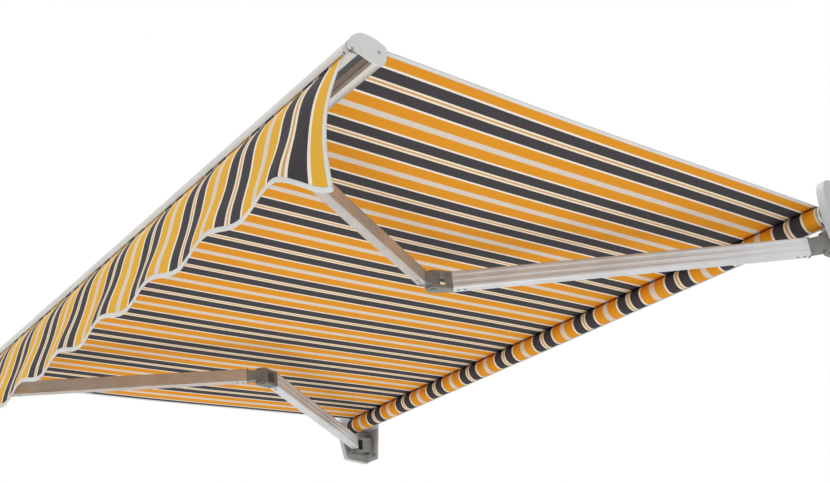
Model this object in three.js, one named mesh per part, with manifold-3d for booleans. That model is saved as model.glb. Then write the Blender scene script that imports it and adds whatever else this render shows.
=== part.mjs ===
// Electric folding-arm awning of the open type: a motor-driven cloth roller between two wall brackets, two sprung
// folding arms, a front bar with a scalloped valance, and the striped cloth stretched between roller and bar.
// Millimetres. X runs along the wall, -Y points out from the wall and +Z up. The origin is the middle of the
// awning, on the wall plane, at the height of the roller's axis. It is shown fully let out.
import * as THREE from "three";
import { mergeVertices } from "three/addons/utils/BufferGeometryUtils.js";
import Module from "manifold-3d";

const wasm = await Module();
wasm.setup();

const DEGREE = Math.PI / 180;
const V2 = THREE.Vector2;
const V3 = THREE.Vector3;

// Driving dimensions: cloth
const CLOTH_WIDTH = 2910;
const CLOTH_LENGTH = 1956;
const CLOTH_THICKNESS = 1;
const CLOTH_SAG = 14;
const PITCH = 7.3 * DEGREE;

// Driving dimensions: roller and motor
const WALL_TO_AXIS = 130;
const TUBE_RADIUS = 35;
const TUBE_WALL = 1.5;
const TUBE_OVERHANG = 7;
const ROLL_RADIUS = 38.8;
const ROLL_STEP = 0.6;
const COLLAR_RADIUS = 36.5;
const COLLAR_WIDTH = 6;
const MOTOR_RADIUS = 22.5;
const MOTOR_LENGTH = 560;
const MOTOR_SHAFT_RADIUS = 6;
const MOTOR_HEAD_RADIUS = 30;
const SPIGOT = 18;
const WHEEL_WIDTH = 20;
const IDLER_PIN_RADIUS = 8;
const BUSH_RADIUS = 14;
const GLAND_RADIUS = 5;
const GLAND_LENGTH = 10;
const TURNING_CLEARANCE = 1;

// Driving dimensions: wall brackets and torsion bar
const BRACKET_GAP = 35;
const CHEEK_THICKNESS = 8;
const CHEEK_TOP = 125;
const CHEEK_BOTTOM = -170;
const CHEEK_FRONT = 184;
const CHEEK_TOE = 137;
const CHEEK_ROUND = 75;
const CHEEK_KNEE = -38;
const CHEEK_KNEE_ROUND = 40;
const CHEEK_TOE_ROUND = 12;
const FLANGE_WIDTH = 95;
const FLANGE_THICKNESS = 8;
const ANCHOR_HOLE_RADIUS = 6.5;
const ANCHOR_INSET = 26;
const COVER_WALL = 2.5;
const COVER_DEPTH = 15;
const COVER_LIP = 6;
const TORSION_SIZE = 40;
const TORSION_WALL = 2.5;
const TORSION_BACK = 50;
const TORSION_HEIGHT = 28;
const SADDLE_LEDGE = 10;
const ARCH = { radius: 24, out: 95, height: -88 };

// Driving dimensions: arms
const SHOULDER_INSET = 34;
const SHOULDER_OUT = 120;
const SHOULDER_Z = -103;
const UPPER_LENGTH = 1410;
const FORE_LENGTH = 1080;
const HINGE_OUT = 60.34;
const PIN_RADIUS = 8;
const PIN_HEAD_RADIUS = 12;
const PIN_HEAD = 5;
const UPPER_TUBE = { width: 40, height: 66, wall: 2.5, offset: 23, corner: 5 };
const FORE_TUBE = { width: 34, height: 55, wall: 2.5, offset: 20, corner: 5 };
const GROOVE_WIDTH = 3;
const GROOVE_DEPTH = 1.2;
const PLUG_LENGTH = 60;
const COLLAR_LENGTH = 8;
const SHOULDER_EYE = { radius: 26, height: 54, root: 70 };
const ELBOW_EYE = { radius: 26, height: 42, root: 64 };
const FRONT_EYE = { radius: 25, height: 44, root: 58 };
const ELBOW_FORK_ROOT = 70;
const ELBOW_SLOT_DEPTH = 46;
const EAR_THICKNESS = 11;
const SHOULDER_BASE_HALF_WIDTH = 28;
const SHOULDER_WEB = 40;
const SHOULDER_EAR_ROOT = 60;
const POCKET_WALL = 8;
const POCKET_DEPTH = 14;
const PITCH_BOLT_BACK = 95;
const PITCH_BOLT_RADIUS = 6;
const PITCH_BOLT_HEAD = 8;
const PITCH_BOLT_HEAD_RADIUS = 11.4;
const OPEN_PIVOT_PLAY = 6.5;
const SPRING_START = 300;
const SPRING_LENGTH = 320;
const SPRING_RADIUS = 13;
const SPRING_WIRE = 5;
const SPRING_COILS = 12;
const ANCHOR_RADIUS = 4;
const CABLE_RADIUS = 3;

// Driving dimensions: front bar and valance
const BAR_OVERHANG = 6;
const CAP_THICKNESS = 5;
const CAP_STEP = 2;
const CLOTH_ROD_RADIUS = 3.6;
const CLOTH_GROOVE_RADIUS = 4;
const CLOTH_SLOT = 3;
const VALANCE_ROD_RADIUS = 2.8;
const VALANCE_GROOVE_RADIUS = 3.2;
const VALANCE_SLOT = 2.6;
const BAR_LAND = -68;
const BAR_CHANNEL = { back: 46, front: 80, roof: -54 };
const FRONT_PLATE_THICKNESS = 10;
const FRONT_PLATE_HALF_WIDTH = 40;
const FRONT_PLATE = { back: 22, front: 108 };
const TONGUE_CLEARANCE = 4;
const FRONT_WEB_HALF_WIDTH = 26;
const FRONT_WEB = 32;
const FRONT_WEB_THICKNESS = 14;
const VALANCE_DROP = 340;
const VALANCE_THICKNESS = 1.2;
const SCALLOP_COUNT = 9;
const SCALLOP_HEIGHT = 15;
const END_TAB_DROP = 35;
const END_TAB_LENGTH = 150;
const VALANCE_LEAN = 72;
const VALANCE_TOP = 7;
const RIPPLE = 6;
const FOLD_DEPTH = 6;
const END_BOW = 40;
const BINDING_WIDTH = 14;
const BINDING_TOP = 12;
const BINDING_THICKNESS = 2;

// Gaps: between touching pieces, and between a pin and its bore
const SEAT = 0.3;
const ROUND_SEGMENTS = 16;

// Worked-out positions
const forward = new V3(0, -Math.cos(PITCH), -Math.sin(PITCH));
const normal = new V3(0, -Math.sin(PITCH), Math.cos(PITCH));
const roller = new V3(0, -WALL_TO_AXIS, 0);
const tubeEnd = CLOTH_WIDTH / 2 + TUBE_OVERHANG;
const cheekInner = CLOTH_WIDTH / 2 + BRACKET_GAP;
const cheekOuter = cheekInner + CHEEK_THICKNESS;
const shoulderX = cheekInner - SHOULDER_INSET;
const clothStart = roller.clone().addScaledVector(normal, ROLL_RADIUS + SEAT + CLOTH_THICKNESS);
const clothEnd = clothStart.clone().addScaledVector(forward, CLOTH_LENGTH);
const clothGroove = { out: 7, up: -9 };
const valanceGroove = { out: 124, up: -77 };
const groovePoint = new V2(
  clothEnd.y - CLOTH_ROD_RADIUS - SEAT + clothGroove.out,
  clothEnd.z - clothGroove.up,
);
const barHalf = CLOTH_WIDTH / 2 + BAR_OVERHANG - CAP_THICKNESS;

// The forearm's angle that lets both limbs fold flat together, for an angle of the upper arm.
function foldingAngle(upper) {
  return Math.acos((UPPER_LENGTH * Math.cos(upper) - UPPER_LENGTH + FORE_LENGTH) / FORE_LENGTH);
}

// The upper arm's angle at which the front hinge stands under the bar.
function openAngle() {
  const reach = (HINGE_OUT - groovePoint.x - SHOULDER_OUT) / Math.cos(PITCH);
  let [low, high] = [0, Math.PI / 2];
  for (let i = 0; i < 60; i++) {
    const middle = (low + high) / 2;
    const length = UPPER_LENGTH * Math.sin(middle) + FORE_LENGTH * Math.sin(foldingAngle(middle));
    if (length < reach) low = middle;
    else high = middle;
  }
  return low;
}

const UPPER_ANGLE = openAngle();
const FORE_ANGLE = foldingAngle(UPPER_ANGLE);

const finishes = {
  silver: { color: "#cfd1d2", roughness: 0.32, metalness: 0.9 },
  cast: { color: "#8f8e8b", roughness: 0.55, metalness: 0.7 },
  steel: { color: "#8a8d90", roughness: 0.35, metalness: 1 },
  grey: { color: "#cdd0cd", roughness: 0.5, metalness: 0 },
  bracket: { color: "#b4b5b5", roughness: 0.45, metalness: 0.2 },
  dark: { color: "#3b3c3e", roughness: 0.6, metalness: 0 },
  cloth: { color: "#de9221", roughness: 0.9, metalness: 0 },
  binding: { color: "#dededc", roughness: 0.85, metalness: 0 },
};
const materials = Object.fromEntries(
  Object.entries(finishes).map(([name, values]) => [name, new THREE.MeshStandardMaterial(values)]),
);

// Geometry tools

// A closed geometry as a solid for joining and cutting: vertices merged, triangles without area dropped.
function toSolid(geometry) {
  const bare = geometry.index ? geometry.toNonIndexed() : geometry.clone();
  bare.deleteAttribute("normal");
  bare.deleteAttribute("uv");
  const merged = mergeVertices(bare, 1e-4);
  const index = merged.index.array;
  const kept = [];
  for (let i = 0; i < index.length; i += 3) {
    const [a, b, c] = [index[i], index[i + 1], index[i + 2]];
    if (a !== b && b !== c && c !== a) kept.push(a, b, c);
  }
  return new wasm.Manifold(
    new wasm.Mesh({
      numProp: 3,
      vertProperties: merged.attributes.position.array,
      triVerts: new Uint32Array(kept),
    }),
  );
}

function toGeometry(solid) {
  const data = solid.getMesh();
  const geometry = new THREE.BufferGeometry();
  geometry.setAttribute("position", new THREE.BufferAttribute(data.vertProperties, 3));
  geometry.setIndex(new THREE.BufferAttribute(data.triVerts, 1));
  geometry.computeVertexNormals();
  return geometry;
}

function join(...pieces) {
  return toGeometry(pieces.map(toSolid).reduce((a, b) => a.add(b)));
}

function cut(body, ...tools) {
  return toGeometry(tools.map(toSolid).reduce((a, b) => a.subtract(b), toSolid(body)));
}

function box(x0, x1, y0, y1, z0, z1) {
  const geometry = new THREE.BoxGeometry(Math.abs(x1 - x0), Math.abs(y1 - y0), Math.abs(z1 - z0));
  return geometry.translate((x0 + x1) / 2, (y0 + y1) / 2, (z0 + z1) / 2);
}

// A flat outline raised along Z.
function prism(shape, z0, z1, curveSegments = 6) {
  const geometry = new THREE.ExtrudeGeometry(shape, { depth: z1 - z0, bevelEnabled: false, curveSegments });
  return geometry.translate(0, 0, z0);
}

// A body of revolution about Z from points of [radius, height], listed upwards on the outside.
function turned(points, segments = ROUND_SEGMENTS) {
  const profile = points.map(([radius, height]) => new V2(radius, height));
  return new THREE.LatheGeometry(profile, segments).rotateX(Math.PI / 2);
}

function rod(radius, z0, z1, segments = ROUND_SEGMENTS) {
  return turned([[0, z0], [radius, z0], [radius, z1], [0, z1]], segments);
}

function ring(inner, outer, z0, z1, segments = ROUND_SEGMENTS) {
  return turned([[inner, z0], [outer, z0], [outer, z1], [inner, z1], [inner, z0]], segments);
}

// Turns a section drawn in X and Y into one in Y and Z that runs along X.
const sectionAlongX = new THREE.Matrix4().makeBasis(new V3(0, 1, 0), new V3(0, 0, 1), new V3(1, 0, 0));

function alongX(geometry) {
  return geometry.applyMatrix4(sectionAlongX);
}

function onRoller(geometry) {
  return alongX(geometry).translate(0, roller.y, roller.z);
}

// A closed outline from corners of [x, y, rounding].
function roundedShape(corners) {
  const shape = new THREE.Shape();
  corners.forEach(([x, y, rounding], i) => {
    const corner = new V2(x, y);
    const before = corners.at(i - 1);
    const after = corners[(i + 1) % corners.length];
    const from = new V2(before[0], before[1]).sub(corner).setLength(rounding).add(corner);
    const to = new V2(after[0], after[1]).sub(corner).setLength(rounding).add(corner);
    if (i === 0) shape.moveTo(from.x, from.y);
    else shape.lineTo(from.x, from.y);
    shape.quadraticCurveTo(x, y, to.x, to.y);
  });
  shape.closePath();
  return shape;
}

function roundedRectangle(width, height, rounding) {
  const [x, y] = [width / 2, height / 2];
  return roundedShape([[-x, -y, rounding], [x, -y, rounding], [x, y, rounding], [-x, y, rounding]]);
}

// The tight outline round a set of points.
function hullShape(points) {
  const sorted = [...points].sort((a, b) => a.x - b.x || a.y - b.y);
  const turn = (o, a, b) => (a.x - o.x) * (b.y - o.y) - (a.y - o.y) * (b.x - o.x);
  const half = (list) => {
    const chain = [];
    for (const p of list) {
      while (chain.length > 1 && turn(chain.at(-2), chain.at(-1), p) <= 1e-6) chain.pop();
      chain.push(p);
    }
    return chain.slice(0, -1);
  };
  return new THREE.Shape([...half(sorted), ...half(sorted.reverse())]);
}

// A lug: a round eye at the origin that runs out to a straight root at two corners.
function lugShape(radius, cornerA, cornerB) {
  const eye = new THREE.EllipseCurve(0, 0, radius, radius).getPoints(ROUND_SEGMENTS).slice(1);
  return hullShape([...eye, new V2(...cornerA), new V2(...cornerB)]);
}

// A thin closed sheet about the surface that a function of u and v from 0 to 1 describes.
function sheet(surface, columns, rows, thickness) {
  const positions = [];
  const index = [];
  const step = 1e-3;
  const layer = (columns + 1) * (rows + 1);
  for (const half of [thickness / 2, -thickness / 2]) {
    for (let j = 0; j <= rows; j++) {
      for (let i = 0; i <= columns; i++) {
        const [u, v] = [i / columns, j / rows];
        const alongU = surface(u + step, v).sub(surface(u - step, v));
        const alongV = surface(u, v + step).sub(surface(u, v - step));
        const offset = alongU.cross(alongV).setLength(half);
        positions.push(...surface(u, v).add(offset).toArray());
      }
    }
  }
  const at = (i, j, side) => side * layer + j * (columns + 1) + i;
  const quad = (a, b, c, d) => index.push(a, b, c, a, c, d);
  for (let j = 0; j < rows; j++) {
    for (let i = 0; i < columns; i++) {
      quad(at(i, j, 0), at(i + 1, j, 0), at(i + 1, j + 1, 0), at(i, j + 1, 0));
      quad(at(i, j, 1), at(i, j + 1, 1), at(i + 1, j + 1, 1), at(i + 1, j, 1));
    }
  }
  for (let i = 0; i < columns; i++) {
    quad(at(i, 0, 0), at(i, 0, 1), at(i + 1, 0, 1), at(i + 1, 0, 0));
    quad(at(i, rows, 0), at(i + 1, rows, 0), at(i + 1, rows, 1), at(i, rows, 1));
  }
  for (let j = 0; j < rows; j++) {
    quad(at(0, j, 0), at(0, j + 1, 0), at(0, j + 1, 1), at(0, j, 1));
    quad(at(columns, j, 0), at(columns, j, 1), at(columns, j + 1, 1), at(columns, j + 1, 0));
  }
  const geometry = new THREE.BufferGeometry();
  geometry.setAttribute("position", new THREE.Float32BufferAttribute(positions, 3));
  geometry.setIndex(index);
  geometry.computeVertexNormals();
  return geometry;
}

// Scene helpers

const awning = new THREE.Group();

function add(parent, name, geometry, finish) {
  const mesh = new THREE.Mesh(geometry, materials[finish]);
  mesh.name = name;
  parent.add(mesh);
  return mesh;
}

// A frame whose X runs along a direction in the arms' plane and whose Z is that plane's normal.
function planeFrame(origin, direction) {
  const across = normal.clone().cross(direction);
  return new THREE.Matrix4().makeBasis(direction, across, normal).setPosition(origin);
}

function frameGroup(matrix) {
  const group = new THREE.Group();
  group.applyMatrix4(matrix);
  awning.add(group);
  return group;
}

// The two ends of the awning: left at -X, right at +X.
const sides = [
  { name: "left", sign: -1 },
  { name: "right", sign: 1 },
];

// The arms' pivots and directions on one side.
function armLayout(sign) {
  const inPlane = (x, out) => new V3(sign * x, 0, 0).addScaledVector(forward, out);
  const shoulder = new V3(sign * shoulderX, -SHOULDER_OUT, SHOULDER_Z);
  const upperDirection = inPlane(-Math.cos(UPPER_ANGLE), Math.sin(UPPER_ANGLE));
  const foreDirection = inPlane(Math.cos(FORE_ANGLE), Math.sin(FORE_ANGLE));
  const elbow = shoulder.clone().addScaledVector(upperDirection, UPPER_LENGTH);
  const hinge = elbow.clone().addScaledVector(foreDirection, FORE_LENGTH);
  return { shoulder, elbow, hinge, upperDirection, foreDirection };
}

// Roller, cloth roll and motor

function buildRoller() {
  const inner = TUBE_RADIUS - TUBE_WALL;
  const tube = ring(inner, TUBE_RADIUS, -tubeEnd, tubeEnd, 2 * ROUND_SEGMENTS);
  add(awning, "roller_tube", onRoller(tube), "silver");

  // The wound cloth: its outer turn ends in a step where the cloth leaves the roll.
  const outline = new THREE.Shape();
  const steps = 2 * ROUND_SEGMENTS;
  for (let i = 0; i <= steps; i++) {
    const angle = Math.PI / 2 + PITCH + (2 * Math.PI * i) / steps;
    const radius = ROLL_RADIUS - (ROLL_STEP * i) / steps;
    const point = [radius * Math.cos(angle), radius * Math.sin(angle)];
    if (i === 0) outline.moveTo(...point);
    else outline.lineTo(...point);
  }
  outline.closePath();
  outline.holes.push(new THREE.Path().absarc(0, 0, TUBE_RADIUS + SEAT, 0, 2 * Math.PI, true));
  const roll = prism(outline, -CLOTH_WIDTH / 2, CLOTH_WIDTH / 2, 2 * ROUND_SEGMENTS);
  add(awning, "fabric_roll", onRoller(roll), "cloth");

  const collarStart = tubeEnd + SEAT;
  const collarEnd = collarStart + COLLAR_WIDTH;
  const plugRadius = inner - SEAT;
  const plug = turned([
    [0, -cheekOuter],
    [IDLER_PIN_RADIUS, -cheekOuter],
    [IDLER_PIN_RADIUS, -collarEnd - COLLAR_WIDTH],
    [COLLAR_RADIUS - COLLAR_WIDTH, -collarEnd - COLLAR_WIDTH],
    [COLLAR_RADIUS - COLLAR_WIDTH, -collarEnd],
    [COLLAR_RADIUS, -collarEnd],
    [COLLAR_RADIUS, -collarStart],
    [plugRadius, -collarStart],
    [plugRadius, -tubeEnd + PLUG_LENGTH],
    [0, -tubeEnd + PLUG_LENGTH],
  ]);
  add(awning, "idler_plug", onRoller(plug), "grey");
  const bush = ring(IDLER_PIN_RADIUS + SEAT, BUSH_RADIUS, -cheekOuter, -cheekInner + SEAT);
  add(awning, "idler_bush", onRoller(bush), "dark");

  const crownBore = MOTOR_RADIUS + TURNING_CLEARANCE;
  const crown = turned([
    [crownBore, tubeEnd - 2 * COLLAR_WIDTH],
    [plugRadius, tubeEnd - 2 * COLLAR_WIDTH],
    [plugRadius, collarStart],
    [COLLAR_RADIUS, collarStart],
    [COLLAR_RADIUS, collarEnd],
    [crownBore, collarEnd],
    [crownBore, tubeEnd - 2 * COLLAR_WIDTH],
  ]);
  add(awning, "motor_crown", onRoller(crown), "grey");

  const motorEnd = collarEnd;
  const motorStart = motorEnd - MOTOR_LENGTH;
  const motor = turned([
    [0, motorStart - WHEEL_WIDTH],
    [MOTOR_SHAFT_RADIUS, motorStart - WHEEL_WIDTH],
    [MOTOR_SHAFT_RADIUS, motorStart],
    [MOTOR_RADIUS, motorStart],
    [MOTOR_RADIUS, motorEnd],
    [0, motorEnd],
  ]);
  add(awning, "motor_body", onRoller(motor), "steel");
  const wheelBore = MOTOR_SHAFT_RADIUS + SEAT;
  const wheel = ring(wheelBore, plugRadius, motorStart - WHEEL_WIDTH, motorStart - SEAT);
  add(awning, "drive_wheel", onRoller(wheel), "dark");

  const headStart = motorEnd + SEAT;
  const headEnd = cheekInner - SEAT;
  const head = turned([[0, headStart], [MOTOR_HEAD_RADIUS, headStart], [MOTOR_HEAD_RADIUS, headEnd], [0, headEnd]]);
  const spigot = box(-SPIGOT / 2, SPIGOT / 2, -SPIGOT / 2, SPIGOT / 2, headEnd - 1, cheekOuter);
  const gland = rod(GLAND_RADIUS, MOTOR_HEAD_RADIUS - 2, MOTOR_HEAD_RADIUS + GLAND_LENGTH, 12);
  gland.rotateX(Math.PI / 2).translate(0, 0, (headStart + headEnd) / 2);
  add(awning, "motor_head", onRoller(join(head, spigot, gland)), "dark");
}

// Wall brackets

// The bracket's side outline in Y and Z, grown outwards by a distance on its free sides.
function cheekOutline(grow, back = 0) {
  return roundedShape([
    [back, CHEEK_BOTTOM - grow, 0.1],
    [-CHEEK_TOE - grow, CHEEK_BOTTOM - grow, CHEEK_TOE_ROUND + grow],
    [-CHEEK_FRONT - grow, CHEEK_KNEE, CHEEK_KNEE_ROUND],
    [-CHEEK_FRONT - grow, CHEEK_TOP + grow, CHEEK_ROUND + grow],
    [back, CHEEK_TOP + grow, 0.1],
  ]);
}

// The point of the pitch bolt's axis, behind the shoulder pivot in the arms' plane.
function pitchBoltPoint(layout) {
  return layout.shoulder.clone().addScaledVector(forward, -PITCH_BOLT_BACK);
}

// Two X positions of one side in rising order.
function span(sign, a, b) {
  return [sign * a, sign * b].sort((p, q) => p - q);
}

function buildBracket({ name, sign }) {
  const layout = armLayout(sign);
  const bolt = pitchBoltPoint(layout);
  const cheek = alongX(prism(cheekOutline(0), ...span(sign, cheekInner, cheekOuter)));
  const flangeSpan = span(sign, cheekInner - FLANGE_WIDTH, cheekInner + 1);
  const flange = box(...flangeSpan, -FLANGE_THICKNESS, 0, CHEEK_BOTTOM, CHEEK_TOP);

  // The saddle that carries the torsion bar: a seat behind it and a ledge under it.
  const saddleSpan = span(sign, cheekInner - FLANGE_WIDTH, cheekInner + 1);
  const barBack = -TORSION_BACK + TORSION_SIZE / 2;
  const barFront = -TORSION_BACK - TORSION_SIZE / 2;
  const barTop = TORSION_HEIGHT + TORSION_SIZE / 2;
  const barBottom = TORSION_HEIGHT - TORSION_SIZE / 2;
  const seat = box(...saddleSpan, barBack + SEAT, -FLANGE_THICKNESS + 1, barBottom - SADDLE_LEDGE, barTop);
  const ledge = box(...saddleSpan, barFront, barBack + 1, barBottom - SADDLE_LEDGE, barBottom - SEAT);

  const throughCheek = span(sign, cheekInner - 1, cheekOuter + 1);
  const boltHole = alongX(rod(PITCH_BOLT_RADIUS + SEAT, ...throughCheek)).translate(0, bolt.y, bolt.z);
  const spigotHalf = SPIGOT / 2 + SEAT;
  const rollerHole =
    sign > 0
      ? box(...throughCheek, roller.y - spigotHalf, roller.y + spigotHalf, -spigotHalf, spigotHalf)
      : onRoller(rod(BUSH_RADIUS + SEAT, ...throughCheek));
  const arch = new THREE.Shape().absarc(0, 0, ARCH.radius, 0, Math.PI, false);
  const window = alongX(prism(arch, ...throughCheek)).translate(0, -ARCH.out, ARCH.height);
  const anchorX = sign * (cheekInner - FLANGE_WIDTH + ANCHOR_INSET);
  const middleAnchor = (barTop + CHEEK_TOP) / 2 - ANCHOR_INSET;
  const anchors = [CHEEK_TOP - ANCHOR_INSET, middleAnchor, CHEEK_BOTTOM + ANCHOR_INSET];
  const anchorHoles = anchors.map((z) =>
    rod(ANCHOR_HOLE_RADIUS, -1, FLANGE_THICKNESS + 1, 12)
      .rotateX(Math.PI / 2)
      .translate(anchorX, 0, z),
  );
  const bracket = cut(join(cheek, flange, seat, ledge), boltHole, rollerHole, window, ...anchorHoles);
  add(awning, name + "_bracket", bracket, "bracket");

  // The moulded end cover: a tray over the cheek, open towards the wall and the roller.
  const trayEnd = cheekOuter + COVER_DEPTH;
  const tray = alongX(prism(cheekOutline(COVER_WALL + SEAT), ...span(sign, cheekInner - COVER_LIP, trayEnd)));
  const hollow = prism(cheekOutline(SEAT, 5), ...span(sign, cheekInner - COVER_LIP - 1, trayEnd - COVER_WALL));
  add(awning, name + "_bracket_cover", cut(tray, alongX(hollow)), "grey");

  // The shoulder casting: two ears round the arm's eye on a block that runs back to the wall flange.
  const frame = planeFrame(layout.shoulder, new V3(1, 0, 0));
  const half = SHOULDER_BASE_HALF_WIDTH;
  const reach = SHOULDER_EYE.height / 2 + SEAT + EAR_THICKNESS;
  const inside = SHOULDER_EYE.height / 2 + SEAT;
  const earRoot = SHOULDER_EAR_ROOT;
  const ears = prism(lugShape(SHOULDER_EYE.radius + 1, [-half, earRoot], [half, earRoot]), -reach, reach);
  const tail = box(-half, half, earRoot - 5, 2 * SHOULDER_OUT, -reach, reach);
  const slot = box(-2 * half, 2 * half, -2 * half, SHOULDER_WEB, -inside, inside);
  const bore = rod(PIN_RADIUS + SEAT, -reach - 1, reach + 1);
  const sink = alongX(rod(PITCH_BOLT_RADIUS + SEAT, -half - 1, half + 1)).translate(0, PITCH_BOLT_BACK, 0);
  const pocketStart = earRoot + 2;
  const pocketEnd = SHOULDER_OUT - FLANGE_THICKNESS - POCKET_WALL / 2;
  const pocketHalf = half - POCKET_WALL;
  const pockets = [-1, 1].map((end) =>
    box(-pocketHalf, pocketHalf, pocketStart, pocketEnd, end * (reach - POCKET_DEPTH), end * (reach + 1)),
  );
  const casting = cut(join(ears, tail), slot, bore, sink, ...pockets).applyMatrix4(frame);
  const wallSpan = span(sign, 0, 2 * shoulderX);
  const wall = box(...wallSpan, -FLANGE_THICKNESS - SEAT, 2 * SHOULDER_OUT, 2 * CHEEK_BOTTOM, 2 * CHEEK_TOP);
  add(awning, name + "_shoulder_base", cut(casting, wall), "cast");

  const group = frameGroup(frame);
  add(group, name + "_shoulder_pin", pin(reach), "steel");
  const headStart = cheekOuter - shoulderX + SEAT;
  const shank = alongX(rod(PITCH_BOLT_RADIUS, ...span(sign, -half, headStart + 1)));
  const hexagon = alongX(rod(PITCH_BOLT_HEAD_RADIUS, ...span(sign, headStart, headStart + PITCH_BOLT_HEAD), 6));
  const pitchBolt = join(shank, hexagon).translate(0, PITCH_BOLT_BACK, 0);
  add(group, name + "_pitch_bolt", pitchBolt, "steel");
}

function buildTorsionBar() {
  const section = roundedRectangle(TORSION_SIZE, TORSION_SIZE, 3);
  const inner = TORSION_SIZE - 2 * TORSION_WALL;
  section.holes.push(roundedRectangle(inner, inner, 2));
  const end = cheekInner - SEAT;
  const bar = alongX(prism(section, -end, end)).translate(0, -TORSION_BACK, TORSION_HEIGHT);
  add(awning, "torsion_bar", bar, "silver");
}

// Folding arms

// A hinge pin with a button head at each end, centred on the pivot.
function pin(reach) {
  const head = reach + SEAT;
  return turned([
    [0, -head - PIN_HEAD],
    [PIN_HEAD_RADIUS, -head - PIN_HEAD + 2],
    [PIN_HEAD_RADIUS, -head],
    [PIN_RADIUS, -head],
    [PIN_RADIUS, head],
    [PIN_HEAD_RADIUS, head],
    [PIN_HEAD_RADIUS, head + PIN_HEAD - 2],
    [0, head + PIN_HEAD],
  ]);
}

// An arm tube along X between two positions, with two shallow grooves along each side.
function armTube(tube, sign, start, end) {
  const section = roundedRectangle(tube.width, tube.height, tube.corner);
  const inner = roundedRectangle(tube.width - 2 * tube.wall, tube.height - 2 * tube.wall, tube.corner - tube.wall);
  section.holes.push(inner);
  const body = alongX(prism(section, start, end, 3));
  const grooves = [-1, 1].flatMap((face) =>
    [-1, 1].map((level) => {
      const y = (face * tube.width) / 2;
      const z = (level * tube.height) / 5;
      const depth = GROOVE_DEPTH;
      const half = GROOVE_WIDTH / 2;
      return box(start - 1, end + 1, y - depth, y + depth, z - half, z + half);
    }),
  );
  return cut(body, ...grooves).translate(0, -sign * tube.offset, 0);
}

// The collar and plug that carry a tube's end: the collar closes the tube, the plug sits inside it.
function tubePlug(tube, sign, root, direction) {
  const y = -sign * tube.offset;
  const [halfY, halfZ] = [tube.width / 2, tube.height / 2];
  const gap = tube.wall + SEAT;
  const collar = box(root - direction * COLLAR_LENGTH, root, y - halfY, y + halfY, -halfZ, halfZ);
  const ends = [root - direction, root + direction * PLUG_LENGTH].sort((a, b) => a - b);
  const section = roundedRectangle(tube.width - 2 * gap, tube.height - 2 * gap, tube.corner - tube.wall + SEAT);
  return join(collar, alongX(prism(section, ...ends, 3)).translate(0, y, 0));
}

// An eye on the pivot at X = pivot that runs out to its tube's collar.
function armEye(eye, tube, sign, pivot, direction, boreRadius) {
  const root = pivot + direction * eye.root;
  const y = -sign * tube.offset;
  const edge = tube.width / 2;
  const corner = direction * (eye.root - COLLAR_LENGTH / 2);
  const outline = lugShape(eye.radius, [corner, y - edge], [corner, y + edge]);
  const lug = prism(outline, -eye.height / 2, eye.height / 2).translate(pivot, 0, 0);
  const bore = rod(boreRadius, -eye.height, eye.height).translate(pivot, 0, 0);
  return cut(join(lug, tubePlug(tube, sign, root, direction)), bore);
}

// The elbow's fork at the end of the upper arm: two ears, open over the forearm's whole swing.
function elbowFork(sign) {
  const tube = UPPER_TUBE;
  const root = UPPER_LENGTH - ELBOW_FORK_ROOT;
  const y = -sign * tube.offset;
  const edge = tube.width / 2;
  const reach = ELBOW_EYE.height / 2 + SEAT + EAR_THICKNESS;
  const inside = ELBOW_EYE.height / 2 + SEAT;
  const corner = -ELBOW_FORK_ROOT + COLLAR_LENGTH / 2;
  const outline = lugShape(ELBOW_EYE.radius + 1, [corner, y - edge], [corner, y + edge]);
  const ears = prism(outline, -reach, reach);
  const swing = 3 * ELBOW_EYE.radius;
  const slot = box(-ELBOW_SLOT_DEPTH, swing, -swing, swing, -inside, inside);
  const clearSide = [-sign * 2, sign * swing].sort((a, b) => a - b);
  const sideSlot = box(-ELBOW_FORK_ROOT + COLLAR_LENGTH, 0, ...clearSide, -inside, inside);
  const bore = rod(PIN_RADIUS + SEAT, -reach - 1, reach + 1);
  const fork = cut(ears, slot, sideSlot, bore).translate(UPPER_LENGTH, 0, 0);
  return join(fork, tubePlug(tube, sign, root, -1));
}

// A tension coil along X, its turns closed on each other.
function springCoil() {
  const pitch = SPRING_LENGTH / SPRING_COILS;
  const inner = SPRING_RADIUS - SPRING_WIRE;
  const outer = [];
  for (let i = 0; i < SPRING_COILS; i++) {
    outer.push([SPRING_RADIUS - SPRING_WIRE / 2, i * pitch], [SPRING_RADIUS, (i + 0.5) * pitch]);
  }
  outer.push([SPRING_RADIUS - SPRING_WIRE / 2, SPRING_LENGTH], [inner, SPRING_LENGTH], [inner, 0], outer[0]);
  return alongX(turned(outer, 8));
}

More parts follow.
